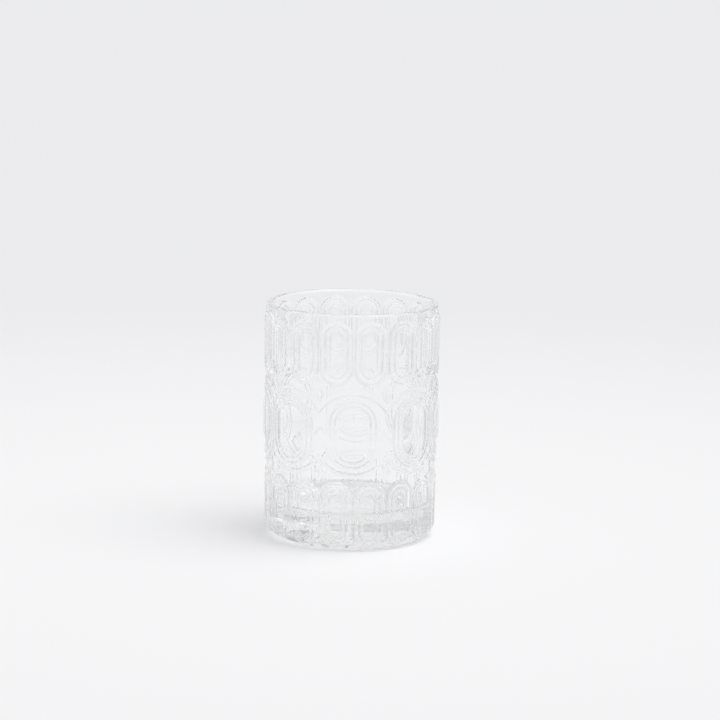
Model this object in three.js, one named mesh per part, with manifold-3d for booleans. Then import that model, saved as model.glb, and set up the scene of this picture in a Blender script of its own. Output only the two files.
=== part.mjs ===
// Pressed-glass tumbler: a drinking glass with a heavy bottom and a nearly straight wall. The wall is embossed
// with a row of long pills under the rim, a row of nested ovals round the middle, and a second row of pills
// that runs down over the heel. The glass is one piece, and its meshes are the zones that the mould forms:
// the bottom with its heel, the embossed wall, and the plain fire-polished rim.
import * as THREE from "three";
import { mergeVertices } from "three/addons/utils/BufferGeometryUtils.js";
import Module from "manifold-3d";

// Driving dimensions of the glass, in millimetres. The radii are those of the plain wall under the ornament.
const HEIGHT = 107;
const RIM_RADIUS = 39.1;
const FOOT_RADIUS = 38.1;
const LIP_THICKNESS = 3;
const RIM_BAND = 2.8;
const BOTTOM_THICKNESS = 16;
const HEEL_RADIUS = 6.2;
const FLOOR_RADIUS = 34.6;
const FLOOR_FILLET = 4.5;
const PUNT_RADIUS = 25;
const PUNT_DEPTH = 0.8;

// Driving dimensions of the ornament. Each motif is a long round-ended outline on the wall.
const PILLS_ROUND = 16;
const OVALS_ROUND = 8;
const PILL = { halfWidth: 7, halfHeight: 14.2 };
const OVAL = { halfWidth: 15, halfHeight: 20 };
const UPPER_PILL_MIDDLE = 89.7;
const OVAL_MIDDLE = 53.3;
const LOWER_PILL_MIDDLE = 17.5;
const RIDGE_HEIGHT = 0.8;
const RIDGE_WIDTH = 2.8;
const RIDGE_ROOT = 0.25;
const INNER_RIDGE_INSET = 4.8;
const BOSS = { halfWidth: 5.1, halfHeight: 9.8, height: 1.4 };

// Fineness of the facets.
const WALL_SIDES = 48;
const PROFILE_ARC_STEPS = 2;
const ROOF_SIDES = 4;
const PILL_STEPS = 12;
const OVAL_STEPS = 20;
const BOSS_SIDES = 12;
const BOSS_ROWS = 6;
const WELD_DISTANCE = 1e-4;

const MEAN_RADIUS = (RIM_RADIUS + FOOT_RADIUS) / 2;
const QUARTER_TURN = Math.PI / 2;

const wasm = await Module();
wasm.setup();

// A closed three.js geometry as a solid that can be joined and cut.
function solid(geometry) {
  geometry.deleteAttribute("normal");
  geometry.deleteAttribute("uv");
  const merged = mergeVertices(geometry, WELD_DISTANCE);
  const vertProperties = new Float32Array(merged.attributes.position.array);
  const triVerts = new Uint32Array(merged.index.array);
  return new wasm.Manifold(new wasm.Mesh({ numProp: 3, vertProperties, triVerts }));
}

// A solid as a mesh of clear glass.
function glass(name, body) {
  const { vertProperties, triVerts } = body.getMesh();
  const geometry = new THREE.BufferGeometry();
  geometry.setAttribute("position", new THREE.BufferAttribute(vertProperties, 3));
  geometry.setIndex(new THREE.BufferAttribute(triVerts, 1));
  geometry.computeVertexNormals();
  const material = new THREE.MeshStandardMaterial({
    color: 0xe8ebec,
    roughness: 0.05,
    metalness: 0,
    transparent: true,
    opacity: 0.35,
  });
  const mesh = new THREE.Mesh(geometry, material);
  mesh.name = name;
  return mesh;
}

// Radius of the plain outer face at a height: a quarter-round heel, then a wall that widens a little.
function wallRadius(z) {
  const taper = (RIM_RADIUS - FOOT_RADIUS) / HEIGHT;
  const wall = FOOT_RADIUS + taper * z;
  if (z >= HEEL_RADIUS) return wall;
  const drop = HEEL_RADIUS - z;
  return wall - HEEL_RADIUS + Math.sqrt(HEEL_RADIUS ** 2 - drop ** 2);
}

// The plain glass: from the hollow under the foot, out over the heel, up the wall, over the round lip, and
// down the smooth inside to the floor.
function plainGlass() {
  const lip = LIP_THICKNESS / 2;
  const heelCentre = wallRadius(HEEL_RADIUS) - HEEL_RADIUS;
  const profile = new THREE.Path();
  profile.moveTo(0, PUNT_DEPTH);
  profile.lineTo(PUNT_RADIUS - PUNT_DEPTH, PUNT_DEPTH);
  profile.lineTo(PUNT_RADIUS, 0);
  profile.lineTo(heelCentre, 0);
  profile.absarc(heelCentre, HEEL_RADIUS, HEEL_RADIUS, -QUARTER_TURN, 0);
  profile.lineTo(RIM_RADIUS, HEIGHT - lip);
  profile.absarc(RIM_RADIUS - lip, HEIGHT - lip, lip, 0, Math.PI);
  profile.lineTo(FLOOR_RADIUS, BOTTOM_THICKNESS + FLOOR_FILLET);
  profile.absarc(
    FLOOR_RADIUS - FLOOR_FILLET,
    BOTTOM_THICKNESS + FLOOR_FILLET,
    FLOOR_FILLET,
    0,
    -QUARTER_TURN,
    true,
  );
  profile.lineTo(0, BOTTOM_THICKNESS);
  const points = profile.getPoints(PROFILE_ARC_STEPS);
  return solid(new THREE.LatheGeometry(points, WALL_SIDES).rotateX(QUARTER_TURN));
}

// Bends a motif drawn upright in the XY plane, with Z as its height above the wall, round the glass.
function wrap(geometry, turn, middle) {
  const position = geometry.attributes.position;
  for (let i = 0; i < position.count; i += 1) {
    const angle = turn + position.getX(i) / MEAN_RADIUS;
    const z = middle + position.getY(i);
    const radius = wallRadius(z) + position.getZ(i);
    position.setXYZ(i, radius * Math.sin(angle), -radius * Math.cos(angle), z);
  }
  return geometry;
}

// A raised ridge that follows an outline, inset from it: a four-sided ring, sunk in the wall up to a little
// above its widest corners so that only its roof stands out, with its two halves drawn apart.
function ridge(outline, inset, steps) {
  const depth = RIDGE_HEIGHT + RIDGE_ROOT;
  const halfSection = ((RIDGE_WIDTH / 2) * depth) / RIDGE_HEIGHT;
  const crestRadius = outline.halfWidth - inset - RIDGE_WIDTH / 2;
  const halfStraight = outline.halfHeight - outline.halfWidth;
  const geometry = new THREE.TorusGeometry(crestRadius, halfSection, ROOF_SIDES, steps);
  geometry.rotateZ(Math.PI / steps);
  geometry.scale(1, 1, depth / halfSection);
  geometry.translate(0, 0, -RIDGE_ROOT);
  const position = geometry.attributes.position;
  for (let i = 0; i < position.count; i += 1) {
    const y = position.getY(i);
    position.setY(i, y + Math.sign(y) * halfStraight);
  }
  return geometry;
}

// The low rounded boss in the middle of an oval.
function boss() {
  const geometry = new THREE.SphereGeometry(1, BOSS_SIDES, BOSS_ROWS);
  return geometry.scale(BOSS.halfWidth, BOSS.halfHeight, BOSS.height);
}

// The whole glass with its ornament: the ovals face the front, and each pair of pills sits over an oval.
function embossedGlass() {
  let body = plainGlass();
  const ovalPitch = (2 * Math.PI) / OVALS_ROUND;
  for (let i = 0; i < OVALS_ROUND; i += 1) {
    const turn = i * ovalPitch;
    body = body.add(solid(wrap(ridge(OVAL, 0, OVAL_STEPS), turn, OVAL_MIDDLE)));
    body = body.add(solid(wrap(ridge(OVAL, INNER_RIDGE_INSET, OVAL_STEPS), turn, OVAL_MIDDLE)));
    body = body.add(solid(wrap(boss(), turn, OVAL_MIDDLE)));
  }
  const pillPitch = (2 * Math.PI) / PILLS_ROUND;
  for (let i = 0; i < PILLS_ROUND; i += 1) {
    const turn = (i + 0.5) * pillPitch;
    body = body.add(solid(wrap(ridge(PILL, 0, PILL_STEPS), turn, UPPER_PILL_MIDDLE)));
    body = body.add(solid(wrap(ridge(PILL, 0, PILL_STEPS), turn, LOWER_PILL_MIDDLE)));
  }
  return body;
}

// The slice of a body between two heights.
function zone(body, low, high) {
  const width = 4 * RIM_RADIUS;
  const slab = new THREE.BoxGeometry(width, width, high - low);
  return body.intersect(solid(slab.translate(0, 0, (low + high) / 2)));
}

const wholeGlass = embossedGlass();
const rimFoot = HEIGHT - RIM_BAND;

const tumbler = new THREE.Group();
tumbler.add(glass("base", zone(wholeGlass, -HEIGHT, BOTTOM_THICKNESS)));
tumbler.add(glass("side_wall", zone(wholeGlass, BOTTOM_THICKNESS, rimFoot)));
tumbler.add(glass("rim", zone(wholeGlass, rimFoot, 2 * HEIGHT)));

export default tumbler;
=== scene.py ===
import math

import bpy
import numpy as np
from mathutils import Matrix, Vector


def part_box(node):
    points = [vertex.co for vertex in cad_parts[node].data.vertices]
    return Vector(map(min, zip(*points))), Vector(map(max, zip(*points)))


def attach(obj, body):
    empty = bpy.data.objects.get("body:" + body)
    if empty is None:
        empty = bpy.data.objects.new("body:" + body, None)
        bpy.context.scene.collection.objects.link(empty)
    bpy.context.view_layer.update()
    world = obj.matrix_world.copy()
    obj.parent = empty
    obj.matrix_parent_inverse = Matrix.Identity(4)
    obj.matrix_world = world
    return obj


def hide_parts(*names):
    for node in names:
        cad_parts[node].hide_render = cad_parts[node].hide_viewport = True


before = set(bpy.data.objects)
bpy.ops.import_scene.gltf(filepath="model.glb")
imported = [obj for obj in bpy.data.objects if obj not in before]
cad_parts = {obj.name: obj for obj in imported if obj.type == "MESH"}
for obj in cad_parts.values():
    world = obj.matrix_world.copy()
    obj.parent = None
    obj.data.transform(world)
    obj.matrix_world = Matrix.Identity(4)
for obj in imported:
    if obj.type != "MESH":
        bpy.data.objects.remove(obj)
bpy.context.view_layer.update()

# The tumbler is one piece of clear glass, pressed in a patterned mould and fire-polished, so the three zones
# of the frame are one unbroken skin here: under the foot, round the heel, up the embossed wall, over the lip
# and down the smooth inside to the floor of the glass.

# The plain glass, in millimetres.
MM = 0.001
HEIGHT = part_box("rim")[1].z / MM
RIM_RADIUS = 39.1
FOOT_RADIUS = 38.1
LIP_THICKNESS = 3.0
HEEL_RADIUS = 6.2
FLOOR_LEVEL = 16.0
FLOOR_RADIUS = 34.6
FLOOR_FILLET = 2.5
PUNT_RADIUS = 25.0
PUNT_DEPTH = 0.8
PUNT_EASE = 2.0
TAPER = (RIM_RADIUS - FOOT_RADIUS) / HEIGHT
MEAN_RADIUS = (RIM_RADIUS + FOOT_RADIUS) / 2
WALL_TOP = HEIGHT - LIP_THICKNESS / 2

# The rows of pills under the rim and over the heel. A bead is its width and height.
PILLS_ROUND = 16
PILL_HALF_WIDTH = 7.35
UPPER_PILL_HALF_HEIGHT = 14.2
UPPER_PILL_MIDDLE = 89.3
LOWER_PILL_HALF_HEIGHT = 14.9
LOWER_PILL_MIDDLE = 16.6
PILL_BEADS = ((2.8, 0.7), (2.1, 0.42))

# The band of discs round the middle, with their ovals and the lozenges between them.
OVALS_ROUND = 8
OVAL_MIDDLE = 53.3
DISC_RADIUS = 19.4
DISC_STEP = 0.9
DISC_HEIGHT = 0.26
DISC_BEAD_WIDTH = 1.9
DISC_BEAD = 0.22
OVAL_HALF_WIDTH = 11.8
OVAL_HALF_HEIGHT = 16.5
OVAL_BEADS = ((2.1, 0.52), (2.1, 0.46))
DOME_INSET = 5.0
DOME_HEIGHT = 1.2
LOZENGE_HALF_WIDTH = 2.3
LOZENGE_HALF_HEIGHT = 4.2
LOZENGE_HEIGHT = 0.3
LOZENGE_OFFSET = 17.9

# The fineness of the mesh. A zone of the wall is its lowest and highest row and the gap between rows there.
COLUMNS = 512
PUNT_ROWS = 6
HEEL_ROWS = 12
WALL_ROWS = 132
LIP_ROWS = 24
INNER_ROWS = 4
FILLET_ROWS = 12
UNDER_RING_RADIUS = 12.0
FLOOR_RING_RADIUS = 15.0
ROW_ZONES = np.array([
    (HEEL_RADIUS, 10, 0.6),
    (11, 23, 2.5),
    (24, 47, 0.5),
    (48, 58, 1.4),
    (59, 82, 0.5),
    (83, 95, 2.5),
    (96, WALL_TOP, 0.5),
])
ROW_SAMPLES = 4000
SLOPE_STEP = 0.28
OFF_ORNAMENT = -1000.0


def smooth_step(low, high, value):
    """0 below low and 1 above high, with a cubic ease between."""
    share = np.clip((value - low) / (high - low), 0, 1)
    return share * share * (3 - 2 * share)


def bead(depth, start, width, height):
    """A round ridge from start to start + width inside an outline: a circle's arc of that width and height."""
    radius = (width * width / 4 + height * height) / (2 * height)
    offset = depth - start - width / 2
    base = radius - height
    return np.sqrt(np.maximum(radius * radius - offset * offset, base ** 2)) - base


def crown(depth, start, reach):
    """A low dome that rises from start inside an outline and levels out, as a parabola does, after reach."""
    share = np.clip((depth - start) / reach, 0, 1)
    return share * (2 - share)


def round_ended_depth(across, up, half_width, half_height):
    """How far a point lies inside a long outline with round ends; negative outside it."""
    beyond = np.maximum(np.abs(up) - (half_height - half_width), 0)
    return half_width - np.hypot(across, beyond)


def pitch_offset(angle, count, phase):
    """Signed distance along the wall from the nearest of count evenly spaced motifs."""
    pitch = 2 * np.pi / count
    return MEAN_RADIUS * ((angle / pitch - phase + 0.5) % 1 - 0.5) * pitch


def nested_beads(depth, beads):
    """Round ridges one inside the other, each starting where the one outside it ends."""
    start = 0
    rise = 0
    for width, height in beads:
        rise = rise + bead(depth, start, width, height)
        start += width
    return rise


def pill_relief(angle, up, half_height):
    """Two nested round-ended beads round a flat field."""
    across = pitch_offset(angle, PILLS_ROUND, 0.5)
    return nested_beads(round_ended_depth(across, up, PILL_HALF_WIDTH, half_height), PILL_BEADS)


def oval_relief(angle, up):
    """A band of raised discs with a beaded edge, each with two nested oval beads and a dome on it, and a small
    lozenge in each of the hollows that the discs leave between them."""
    across = pitch_offset(angle, OVALS_ROUND, 0)
    disc_depth = DISC_RADIUS - np.hypot(across, up)
    rise = DISC_HEIGHT * smooth_step(0, DISC_STEP, disc_depth)
    rise = rise + bead(disc_depth, 0, DISC_BEAD_WIDTH, DISC_BEAD)
    depth = round_ended_depth(across, up, OVAL_HALF_WIDTH, OVAL_HALF_HEIGHT)
    rise = rise + nested_beads(depth, OVAL_BEADS)
    rise = rise + DOME_HEIGHT * crown(depth, DOME_INSET, OVAL_HALF_WIDTH - DOME_INSET)
    between = pitch_offset(angle, OVALS_ROUND, 0.5)
    for middle in (LOZENGE_OFFSET, -LOZENGE_OFFSET):
        size = np.abs(between) / LOZENGE_HALF_WIDTH + np.abs(up - middle) / LOZENGE_HALF_HEIGHT
        rise = rise + LOZENGE_HEIGHT * crown(1 - size, 0, 1)
    return rise


def relief(angle, level):
    """Height of the ornament above the plain wall: the pills and the discs added up. The level is the height
    along the outer face, which counts on down round the heel."""
    upper = pill_relief(angle, level - UPPER_PILL_MIDDLE, UPPER_PILL_HALF_HEIGHT)
    lower = pill_relief(angle, level - LOWER_PILL_MIDDLE, LOWER_PILL_HALF_HEIGHT)
    return upper + lower + oval_relief(angle, level - OVAL_MIDDLE)


def wall_rows():
    """Heights of the rows up the wall, closer where the motifs end than along their sides: equal steps of the
    running sum of one over the gap."""
    station = ROW_ZONES[:, :2].ravel()
    gap = np.repeat(ROW_ZONES[:, 2], 2)
    fine = np.linspace(station[0], station[-1], ROW_SAMPLES)
    count = np.cumsum(1 / np.interp(fine, station, gap))
    share = (count - count[0]) / (count[-1] - count[0])
    return np.interp(np.linspace(0, 1, WALL_ROWS + 1), share, fine)[1:]


def glass_profile():
    """The outline from the middle of the underside to the middle of the floor inside, as rows of radius,
    height, level along the outer face, and the outward normal that the ornament rises along. Plain rows have
    a level far off the ornament."""
    lip = LIP_THICKNESS / 2
    punt_inner = PUNT_RADIUS - PUNT_EASE
    punt_outer = PUNT_RADIUS + PUNT_EASE
    under_radius = np.concatenate([[UNDER_RING_RADIUS], np.linspace(punt_inner, punt_outer, PUNT_ROWS)])
    under_height = PUNT_DEPTH * (1 - smooth_step(punt_inner, punt_outer, under_radius))
    heel_centre = FOOT_RADIUS + TAPER * HEEL_RADIUS - HEEL_RADIUS
    turn = np.linspace(-np.pi / 2, 0, HEEL_ROWS)
    heel_radius = heel_centre + HEEL_RADIUS * np.cos(turn)
    heel_height = HEEL_RADIUS + HEEL_RADIUS * np.sin(turn)
    wall_height = wall_rows()
    wall_radius = FOOT_RADIUS + TAPER * wall_height
    lip_turn = np.linspace(0, np.pi, LIP_ROWS)[1:]
    lip_radius = wall_radius[-1] - lip + lip * np.cos(lip_turn)
    lip_height = WALL_TOP + lip * np.sin(lip_turn)
    fillet_top = FLOOR_LEVEL + FLOOR_FILLET
    inner_height = np.linspace(WALL_TOP, fillet_top, INNER_ROWS)[1:]
    inner_radius = np.interp(inner_height, [fillet_top, WALL_TOP], [FLOOR_RADIUS, lip_radius[-1]])
    fillet_turn = np.linspace(0, -np.pi / 2, FILLET_ROWS)[1:]
    fillet_radius = FLOOR_RADIUS - FLOOR_FILLET + FLOOR_FILLET * np.cos(fillet_turn)
    fillet_height = fillet_top + FLOOR_FILLET * np.sin(fillet_turn)
    radius = np.concatenate([under_radius, heel_radius, wall_radius, lip_radius, inner_radius, fillet_radius,
                             [FLOOR_RING_RADIUS]])
    height = np.concatenate([under_height, heel_height, wall_height, lip_height, inner_height, fillet_height,
                             [FLOOR_LEVEL]])
    embossed = slice(len(under_radius), len(under_radius) + HEEL_ROWS + WALL_ROWS)
    level = np.full(len(radius), OFF_ORNAMENT)
    level[embossed] = np.concatenate([HEEL_RADIUS + HEEL_RADIUS * turn, wall_height])
    out = np.zeros((len(radius), 2))
    out[embossed, 0] = np.concatenate([np.cos(turn), np.ones(WALL_ROWS)])
    out[embossed, 1] = np.concatenate([np.sin(turn), np.zeros(WALL_ROWS)])
    return radius, height, level, out


def glass_surface():
    """Points on a grid of profile rows by columns round the axis: each row's radius and height, moved along
    its outward normal by the relief; with one pole point under the foot and one on the floor of the glass. The
    normal at a point is its row's, leaned back by the slope of the relief along the row and across it."""
    radius, height, level, out = glass_profile()
    angle = 2 * np.pi * np.arange(COLUMNS) / COLUMNS
    turn = angle[None, :]
    row = level[:, None]
    rise = relief(turn, row)
    ring = radius[:, None] + rise * out[:, :1]
    lift = height[:, None] + rise * out[:, 1:]
    grid = np.stack([ring * np.sin(angle), -ring * np.cos(angle), lift], axis=-1).reshape(-1, 3)
    run = np.concatenate([[0], np.cumsum(np.hypot(np.diff(radius), np.diff(height)))])
    along_out = np.gradient(radius, run)[:, None]
    along_up = np.gradient(height, run)[:, None]
    steep = (relief(turn, row + SLOPE_STEP) - relief(turn, row - SLOPE_STEP)) / (2 * SLOPE_STEP)
    swing = SLOPE_STEP / MEAN_RADIUS
    sway = (relief(turn + swing, row) - relief(turn - swing, row)) / (2 * SLOPE_STEP)
    lean_out = along_up - steep * along_out
    lean_up = -along_out - steep * along_up
    normal = np.stack([lean_out * np.sin(angle) - sway * np.cos(angle),
                       -lean_out * np.cos(angle) - sway * np.sin(angle),
                       lean_up], axis=-1).reshape(-1, 3)
    poles = np.array([[0, 0, PUNT_DEPTH], [0, 0, FLOOR_LEVEL]])
    normal = np.vstack([normal, [[0, 0, -1], [0, 0, 1]]])
    normal /= np.linalg.norm(normal, axis=1, keepdims=True)
    return np.vstack([grid, poles]) * MM, normal, len(radius)


def skin_faces(rows, columns):
    """Four-sided faces between neighbouring rows of a closed ring grid, and three-sided ones to its poles."""
    row, column = np.meshgrid(np.arange(rows - 1), np.arange(columns), indexing="ij")
    after = (column + 1) % columns
    low = row * columns
    high = low + columns
    quads = np.stack([low + column, low + after, high + after, high + column], axis=-1).reshape(-1, 4)
    ring = np.arange(columns)
    following = (ring + 1) % columns
    first_pole = rows * columns
    under = np.stack([np.full(columns, first_pole), following, ring], axis=-1)
    last = (rows - 1) * columns
    floor = np.stack([np.full(columns, first_pole + 1), last + ring, last + following], axis=-1)
    return quads.tolist() + under.tolist() + floor.tolist()


def mesh_object(name, points, faces):
    """A smooth-shaded mesh object at the origin."""
    mesh = bpy.data.meshes.new(name)
    mesh.from_pydata(points.tolist(), [], faces)
    mesh.shade_smooth()
    mesh.update()
    made = bpy.data.objects.new(name, mesh)
    bpy.context.scene.collection.objects.link(made)
    return made


class Wire:
    """A socket of a node tree. Arithmetic on it adds Math nodes, and node() adds any other node."""

    def __init__(self, tree, socket=None):
        self.tree = tree
        self.socket = socket

    def node(self, kind, settings=None, sockets=None, output=0):
        """Adds a node of a kind, gives it its settings, sets or links its sockets, and returns an output."""
        made = self.tree.nodes.new(kind)
        for name, value in (settings or {}).items():
            setattr(made, name, value)
        for name, value in (sockets or {}).items():
            if isinstance(value, Wire):
                self.tree.links.new(value.socket, made.inputs[name])
            else:
                made.inputs[name].default_value = value
        return Wire(self.tree, made.outputs[output]) if made.outputs else made

    def math(self, operation, first, second):
        """A Math node's result."""
        return self.node("ShaderNodeMath", {"operation": operation}, {0: first, 1: second})

    def ease(self, value, low, high):
        """0 where value is at low and 1 where it is at high, with a smooth step between."""
        return self.node("ShaderNodeMapRange", {"interpolation_type": "SMOOTHSTEP"},
                         {"Value": value, "From Min": low, "From Max": high})

    def blend(self, share, first, second):
        """A colour that goes from first to second as share goes from 0 to 1."""
        return self.node("ShaderNodeMix", {"data_type": "RGBA"}, {"Factor": share, 6: first, 7: second},
                         output=2)

    def along(self, vector, axis):
        """One coordinate of a vector."""
        return self.node("ShaderNodeSeparateXYZ", {}, {0: vector}, output=axis)

    def __add__(self, other):
        return self.math("ADD", self, other)

    def __radd__(self, other):
        return self.math("ADD", other, self)

    def __sub__(self, other):
        return self.math("SUBTRACT", self, other)

    def __rsub__(self, other):
        return self.math("SUBTRACT", other, self)

    def __mul__(self, other):
        return self.math("MULTIPLY", self, other)

    def __rmul__(self, other):
        return self.math("MULTIPLY", other, self)


def node_tree(owner):
    """An empty node tree of a material or world, as a Wire to add nodes through."""
    owner.use_nodes = True
    owner.node_tree.nodes.clear()
    return Wire(owner.node_tree)


# The finish of the glass, in metres. Waves are the height of the swell, in millimetres.
WAVE_SCALE = 420.0
WAVE_DETAIL = 1.0
INNER_WAVE = 0.008
OUTER_WAVE = 0.006
INSIDE_RADIUS = 0.0372
INSIDE_FOOT = (FLOOR_LEVEL - 1) * MM
POLISHED_BAND = (0.09, 0.102)
HAZE_SCALE = 260.0
HAZE_DETAIL = 3.0
CLEAR_COLOUR = (1, 1, 1, 1)
HAZE_COLOUR = (0.98, 0.985, 0.985, 1)
CLEAR_ROUGHNESS = 0.01
HAZE_ROUGHNESS = 0.025
GLASS_INDEX = 1.5
DEPTH_COLOUR = (0.956, 0.957, 0.957, 1)
DEPTH_DENSITY = 40.0


def glass_material():
    """Clear soda-lime glass: smooth, with the faint waves that pressing leaves in the skin and that fire
    polishing melts away at the rim, a little haze that varies over the surface, and the slightest grey tint."""
    material = bpy.data.materials.new("pressed_glass")
    wire = node_tree(material)
    place = wire.node("ShaderNodeTexCoord", output="Object")
    waves = wire.node("ShaderNodeTexNoise", {}, {"Vector": place, "Scale": WAVE_SCALE, "Detail": WAVE_DETAIL})
    flat = wire.node("ShaderNodeVectorMath", {"operation": "MULTIPLY"}, {0: place, 1: (1, 1, 0)},
                     output="Vector")
    ring = wire.node("ShaderNodeVectorMath", {"operation": "LENGTH"}, {0: flat}, output="Value")
    height = wire.along(place, "Z")
    inside = wire.math("LESS_THAN", ring, INSIDE_RADIUS) * wire.math("GREATER_THAN", height, INSIDE_FOOT)
    polished = wire.ease(height, *POLISHED_BAND)
    swell = waves * (1 - polished) * (OUTER_WAVE + inside * (INNER_WAVE - OUTER_WAVE))
    haze = wire.node("ShaderNodeTexNoise", {}, {"Vector": place, "Scale": HAZE_SCALE, "Detail": HAZE_DETAIL})
    ripple = wire.node("ShaderNodeBump", {}, {"Height": swell, "Strength": 1.0, "Distance": MM},
                       output="Normal")
    shader = wire.node("ShaderNodeBsdfPrincipled", {}, {
        "Base Color": wire.blend(haze, CLEAR_COLOUR, HAZE_COLOUR),
        "Roughness": CLEAR_ROUGHNESS + haze * HAZE_ROUGHNESS,
        "IOR": GLASS_INDEX,
        "Transmission Weight": 1.0,
        "Normal": ripple,
    })
    depth = wire.node("ShaderNodeVolumeAbsorption", {}, {"Color": DEPTH_COLOUR, "Density": DEPTH_DENSITY})
    wire.node("ShaderNodeOutputMaterial", {}, {"Surface": shader, "Volume": depth})
    return material


glass_points, glass_normals, glass_rows = glass_surface()
tumbler = mesh_object("tumbler_glass", glass_points, skin_faces(glass_rows, COLUMNS))
tumbler.data.normals_split_custom_set_from_vertices(glass_normals.tolist())
tumbler.data.materials.append(glass_material())
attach(tumbler, "root")
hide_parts("base", "side_wall", "rim")

# The floor is a plain pale sheet with a painted pool of light: brightest round the glass and a little greyer
# further off, as a studio table under a soft overhead light is. Through the glass only, it has painted shade, a
# greyer strip on each side behind the glass, and is painted paler beyond that, which gives the clear ornament
# its edges.

FLOOR_REACH = 8.0
FLOOR_GAP = 0.0001
# Painted pool of light: the floor colour near the glass and the greyer colour far off.
PAINTED_POOL_NEAR = (0.915, 0.915, 0.92, 1)
PAINTED_POOL_FAR = (0.835, 0.835, 0.85, 1)
# Painted shade and painted light seen only through the glass: a greyer strip beside and behind it, and a paler
# floor beyond.
PAINTED_SHADE_STRIP = (0.74, 0.74, 0.75, 1)
PAINTED_PALE_OUTER = (0.97, 0.97, 0.98, 1)
FLOOR_NEAR_EDGE = 0.15
FLOOR_FAR_EDGE = 0.75
STRIP_INNER_EDGE = 0.07
STRIP_OUTER_EDGE = 0.23
STRIP_START = 0.06
STRIP_EASE = 0.1


def floor_material():
    """Matt pale sheet with a painted pool of light: its tone eases from near to far with the distance from the
    glass. For rays that don't come straight from the camera, it eases over to painted shade in the strips and a
    painted paler sheet beyond, behind the glass."""
    material = bpy.data.materials.new("studio_floor")
    wire = node_tree(material)
    place = wire.node("ShaderNodeTexCoord", output="Object")
    distance = wire.node("ShaderNodeVectorMath", {"operation": "LENGTH"}, {0: place}, output="Value")
    # Painted pool of light: the floor colour is lighter near the glass and greyer far off.
    sheet = wire.blend(wire.ease(distance, FLOOR_NEAR_EDGE, FLOOR_FAR_EDGE), PAINTED_POOL_NEAR, PAINTED_POOL_FAR)
    aside = wire.math("ABSOLUTE", wire.along(place, "X"), 0)
    beside = wire.ease(aside, STRIP_INNER_EDGE, STRIP_INNER_EDGE + STRIP_EASE)
    beyond = wire.ease(aside, STRIP_OUTER_EDGE, STRIP_OUTER_EDGE + STRIP_EASE)
    behind = wire.ease(wire.along(place, "Y"), STRIP_START, STRIP_START + STRIP_EASE)
    bent = 1 - wire.node("ShaderNodeLightPath", output="Is Camera Ray")
    # Painted shade in the strips and painted light beyond them, shown only to rays that don't come straight
    # from the camera.
    strips = wire.blend(beyond, PAINTED_SHADE_STRIP, PAINTED_PALE_OUTER)
    tone = wire.blend(beside * behind * bent, sheet, strips)
    shader = wire.node("ShaderNodeBsdfDiffuse", {}, {"Color": tone})
    wire.node("ShaderNodeOutputMaterial", {}, {"Surface": shader})
    return material


corner = np.array([[-1, -1, 0], [1, -1, 0], [1, 1, 0], [-1, 1, 0]]) * FLOOR_REACH - [0, 0, FLOOR_GAP]
studio_floor = mesh_object("studio_floor", corner, [[0, 1, 2, 3]])
studio_floor.data.materials.append(floor_material())

# The light is one wide soft lamp from the upper right and a pale room all round, with a grey flag on the right
# and dimmer on the camera's side. A share of the lamp's light doesn't pass through the glass, which deepens the
# shadow and keeps the bottom of the glass even.

KEY_FROM = Vector((0.40, -0.12, 0.9))
KEY_ANGLE = math.radians(56)
KEY_SHARE = 0.38
SHADE_SHARE = 0.35


def soft_lamp(name, share):
    """A wide lamp at the key's place that gives a share of the light on the floor: pi times the share, over
    the cosine of its tilt."""
    data = bpy.data.lights.new(name, "SUN")
    data.angle = KEY_ANGLE
    data.energy = share * math.pi * KEY_FROM.length / KEY_FROM.z
    lamp = bpy.data.objects.new(name, data)
    lamp.rotation_euler = KEY_FROM.to_track_quat("Z", "Y").to_euler()
    bpy.context.scene.collection.objects.link(lamp)
    return lamp


soft_lamp("key_lamp", KEY_SHARE * (1 - SHADE_SHARE))
shadow_lamp = soft_lamp("shadow_lamp", KEY_SHARE * SHADE_SHARE)
shadow_lamp.visible_transmission = False
shadow_lamp.visible_glossy = False

# The brightness of each side of the room, and where in the view direction one side eases into the next.
ROOM_BACK = 0.9
ROOM_PANEL = 0.95
ROOM_CEILING = 0.7
ROOM_SIDE = 0.84
ROOM_FRONT = 0.8
ROOM_SEEN = 0.84
ROOM_COLOUR = (1, 1, 1.01, 1)
LEFT_FLAG = 0.92
RIGHT_FLAG = 0.48
FLAG_EDGE = (0.3, 0.4)
SIDE_EDGE = (0.55, 0.7)
FRONT_EDGE = (0.1, -0.7)
CEILING_EDGE = (0.6, 0.85)
PANEL_EDGE = (0.26, 0.4)

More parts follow.
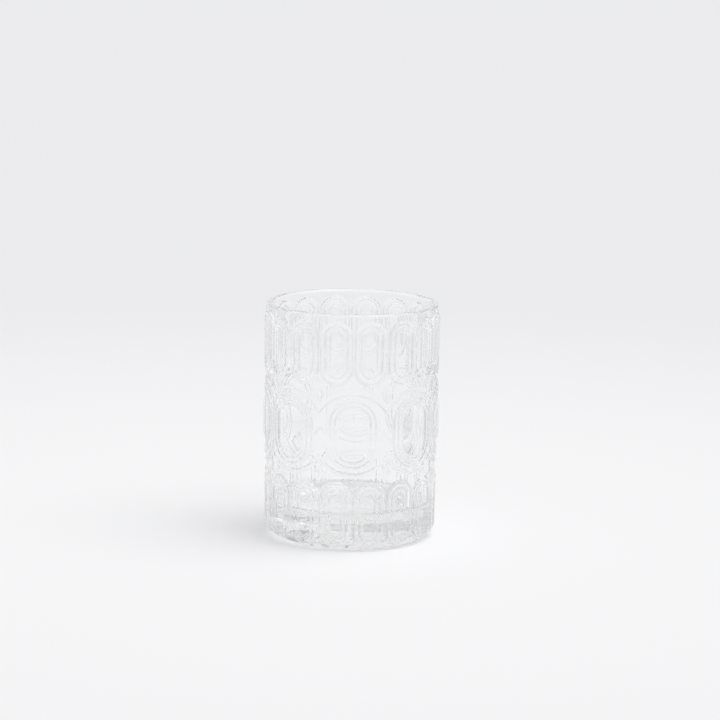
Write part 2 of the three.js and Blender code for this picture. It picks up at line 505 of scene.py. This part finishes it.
world = bpy.data.worlds.new("pale_room")
world.cycles.sampling_method = "NONE"
bpy.context.scene.world = world
sky = node_tree(world)
direction = sky.node("ShaderNodeTexCoord", output="Generated")
across = sky.along(direction, "X")
height = sky.along(direction, "Z")
left = sky.ease(0 - across, *FLAG_EDGE)
right = sky.ease(across, *FLAG_EDGE)
beside = sky.ease(sky.math("ABSOLUTE", across, 0), *SIDE_EDGE)
before = sky.ease(sky.along(direction, "Y"), *FRONT_EDGE)
above = sky.ease(height, *CEILING_EDGE)
panel = sky.ease(height, *PANEL_EDGE)
back = ROOM_BACK + panel * (ROOM_PANEL - ROOM_BACK)
walls = back + left * (LEFT_FLAG - back) + right * (RIGHT_FLAG - back)
walls = walls + beside * (ROOM_SIDE - walls)
walls = walls + before * (ROOM_FRONT - walls)
room = walls + above * (ROOM_CEILING - walls)
spread = sky.node("ShaderNodeLightPath", output="Is Diffuse Ray")
direct = sky.node("ShaderNodeLightPath", output="Is Camera Ray")
level = room + spread * (1 - KEY_SHARE - room) + direct * (ROOM_SEEN - room)
background = sky.node("ShaderNodeBackground", {}, {"Color": ROOM_COLOUR, "Strength": level})
sky.node("ShaderNodeOutputWorld", {}, {"Surface": background})

# The camera stands at the photograph's place: a long lens a little above the rim, rolled by under a degree.
# Light is followed through many turns in the glass, so that its thick bottom stays clear.

FRAME_PIXELS = 720
FOCAL_PIXELS = 2690.0
SENSOR_WIDTH = 36.0
CAMERA_DISTANCE = 1.2
CAMERA_HEIGHT = 0.2947
CAMERA_ASIDE = 0.003715
CAMERA_PITCH = math.radians(10.14)
CAMERA_ROLL = math.radians(0.885)
CAMERA_SWING = math.radians(-1.5)
GLASS_BOUNCES = 32
FLOOR_BOUNCES = 10

camera_data = bpy.data.cameras.new("camera")
camera_data.sensor_width = SENSOR_WIDTH
camera_data.lens = FOCAL_PIXELS / FRAME_PIXELS * SENSOR_WIDTH
camera = bpy.data.objects.new("camera", camera_data)
swing = Matrix.Rotation(CAMERA_SWING, 4, "Z")
stand = Matrix.Translation((CAMERA_ASIDE, -CAMERA_DISTANCE, CAMERA_HEIGHT))
tilt = Matrix.Rotation(math.pi / 2 - CAMERA_PITCH, 4, "X")
roll = Matrix.Rotation(CAMERA_ROLL, 4, "Z")
camera.matrix_world = swing @ stand @ tilt @ roll
bpy.context.scene.collection.objects.link(camera)
bpy.context.scene.camera = camera

bpy.context.scene.view_settings.view_transform = "Standard"
bpy.context.scene.cycles.max_bounces = GLASS_BOUNCES
bpy.context.scene.cycles.glossy_bounces = GLASS_BOUNCES
bpy.context.scene.cycles.transmission_bounces = GLASS_BOUNCES
bpy.context.scene.cycles.diffuse_bounces = FLOOR_BOUNCES
bpy.context.scene.cycles.blur_glossy = 0
